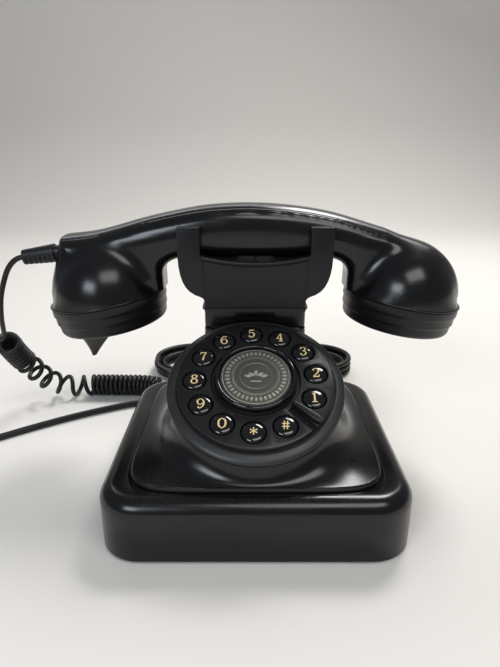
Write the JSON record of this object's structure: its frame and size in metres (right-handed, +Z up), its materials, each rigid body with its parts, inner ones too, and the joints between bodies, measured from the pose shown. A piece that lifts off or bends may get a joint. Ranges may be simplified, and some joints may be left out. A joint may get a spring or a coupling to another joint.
{
  "type": "corded desk telephone",
  "caption": "Retro desk telephone: lift-off handset in a horned cradle, push keys ringed round a dial plate, curly handset cord and line cord.",
  "frame": {"origin": "under the middle of the set, on the table the feet rest on", "axes": "+X along the handset to the viewer's right, -Y towards the user, +Z up"},
  "size_m": [0.3286, 0.258, 0.1562],
  "materials": {
    "gloss_black": "polished black moulding with a soft sheen",
    "satin_black": "satin black moulding",
    "key_black": "glossy black with cream-gold figures",
    "pewter": "antique pewter with a plain ring pattern",
    "silicone": "grey silicone",
    "circuit_board": "green laminate",
    "plain_black": "plain black",
    "capsule_metal": "pressed metal",
    "weight_steel": "bare steel",
    "foot_rubber": "matt rubber",
    "screw_steel": "zinc plated",
    "cord_vinyl": "satin black vinyl",
    "clear_plug": "clear polycarbonate"
  },
  "bodies": {
    "base": {"base_housing": "gloss_black", "dial_bezel": "satin_black", "dial_plate": "satin_black", "finger_stop": "satin_black", "plaque_ring": "key_black", "centre_plaque": "pewter", "keypad_membrane": "silicone", "keypad_board": "circuit_board", "cradle": "satin_black", "hook_switch": "plain_black", "main_board": "circuit_board", "ringer_speaker": "capsule_metal", "handset_jack": "plain_black", "line_jack": "plain_black", "ballast_weight": "weight_steel", "base_plate": "plain_black", "foot_1": "foot_rubber", "foot_2": "foot_rubber", "foot_3": "foot_rubber", "foot_4": "foot_rubber", "base_screw_1": "screw_steel", "base_screw_2": "screw_steel", "base_screw_3": "screw_steel", "base_screw_4": "screw_steel", "handset_cord_lead": "cord_vinyl", "handset_cord_coil": "cord_vinyl", "handset_cord_tail": "cord_vinyl", "handset_cord_plug": "clear_plug", "line_cord_jack_plug": "clear_plug", "line_cord_start": "cord_vinyl", "line_cord_hank": "cord_vinyl", "line_cord_tie": "cord_vinyl", "line_cord": "cord_vinyl", "line_cord_plug": "clear_plug"},
    "hook": {"hook_plunger": "plain_black"},
    "handset": {"handset_shell": "gloss_black", "handset_cover": "gloss_black", "earpiece_cap": "satin_black", "mouthpiece_cap": "satin_black", "receiver_capsule": "capsule_metal", "microphone_capsule": "capsule_metal", "handset_weight": "weight_steel", "handset_screw_1": "screw_steel", "handset_screw_2": "screw_steel", "handset_relief": "cord_vinyl"},
    "key_1": {"key_1": "key_black"},
    "key_2": {"key_2": "key_black"},
    "key_3": {"key_3": "key_black"},
    "key_4": {"key_4": "key_black"},
    "key_5": {"key_5": "key_black"},
    "key_6": {"key_6": "key_black"},
    "key_7": {"key_7": "key_black"},
    "key_8": {"key_8": "key_black"},
    "key_9": {"key_9": "key_black"},
    "key_0": {"key_0": "key_black"},
    "key_star": {"key_star": "key_black"},
    "key_hash": {"key_hash": "key_black"}
  },
  "joints": [
    {"name": "key_1_press", "type": "slide", "parent": "base", "child": "key_1", "axis": [0, 0.454, -0.891], "range_m": [0, 0.0018], "stiffness_N_per_m": 400, "springref_m": -0.0012},
    {"name": "key_2_press", "type": "slide", "parent": "base", "child": "key_2", "axis": [0, 0.454, -0.891], "range_m": [0, 0.0018], "stiffness_N_per_m": 400, "springref_m": -0.0012},
    {"name": "key_3_press", "type": "slide", "parent": "base", "child": "key_3", "axis": [0, 0.454, -0.891], "range_m": [0, 0.0018], "stiffness_N_per_m": 400, "springref_m": -0.0012},
    {"name": "key_4_press", "type": "slide", "parent": "base", "child": "key_4", "axis": [0, 0.454, -0.891], "range_m": [0, 0.0018], "stiffness_N_per_m": 400, "springref_m": -0.0012},
    {"name": "key_5_press", "type": "slide", "parent": "base", "child": "key_5", "axis": [0, 0.454, -0.891], "range_m": [0, 0.0018], "stiffness_N_per_m": 400, "springref_m": -0.0012},
    {"name": "key_6_press", "type": "slide", "parent": "base", "child": "key_6", "axis": [0, 0.454, -0.891], "range_m": [0, 0.0018], "stiffness_N_per_m": 400, "springref_m": -0.0012},
    {"name": "key_7_press", "type": "slide", "parent": "base", "child": "key_7", "axis": [0, 0.454, -0.891], "range_m": [0, 0.0018], "stiffness_N_per_m": 400, "springref_m": -0.0012},
    {"name": "key_8_press", "type": "slide", "parent": "base", "child": "key_8", "axis": [0, 0.454, -0.891], "range_m": [0, 0.0018], "stiffness_N_per_m": 400, "springref_m": -0.0012},
    {"name": "key_9_press", "type": "slide", "parent": "base", "child": "key_9", "axis": [0, 0.454, -0.891], "range_m": [0, 0.0018], "stiffness_N_per_m": 400, "springref_m": -0.0012},
    {"name": "key_0_press", "type": "slide", "parent": "base", "child": "key_0", "axis": [0, 0.454, -0.891], "range_m": [0, 0.0018], "stiffness_N_per_m": 400, "springref_m": -0.0012},
    {"name": "key_star_press", "type": "slide", "parent": "base", "child": "key_star", "axis": [0, 0.454, -0.891], "range_m": [0, 0.0018], "stiffness_N_per_m": 400, "springref_m": -0.0012},
    {"name": "key_hash_press", "type": "slide", "parent": "base", "child": "key_hash", "axis": [0, 0.454, -0.891], "range_m": [0, 0.0018], "stiffness_N_per_m": 400, "springref_m": -0.0012},
    {"name": "handset_lift", "type": "slide", "parent": "base", "child": "handset", "axis": [0, 0, 1], "range_m": [0, 0.06]},
    {"name": "hook_rise", "type": "slide", "parent": "base", "child": "hook", "axis": [0, 0, 1], "range_m": [0, 0.004]}
  ],
  "couplings": [
    {"joint": "hook_rise", "follows": "handset_lift", "ratio": 0.0666}
  ]
}
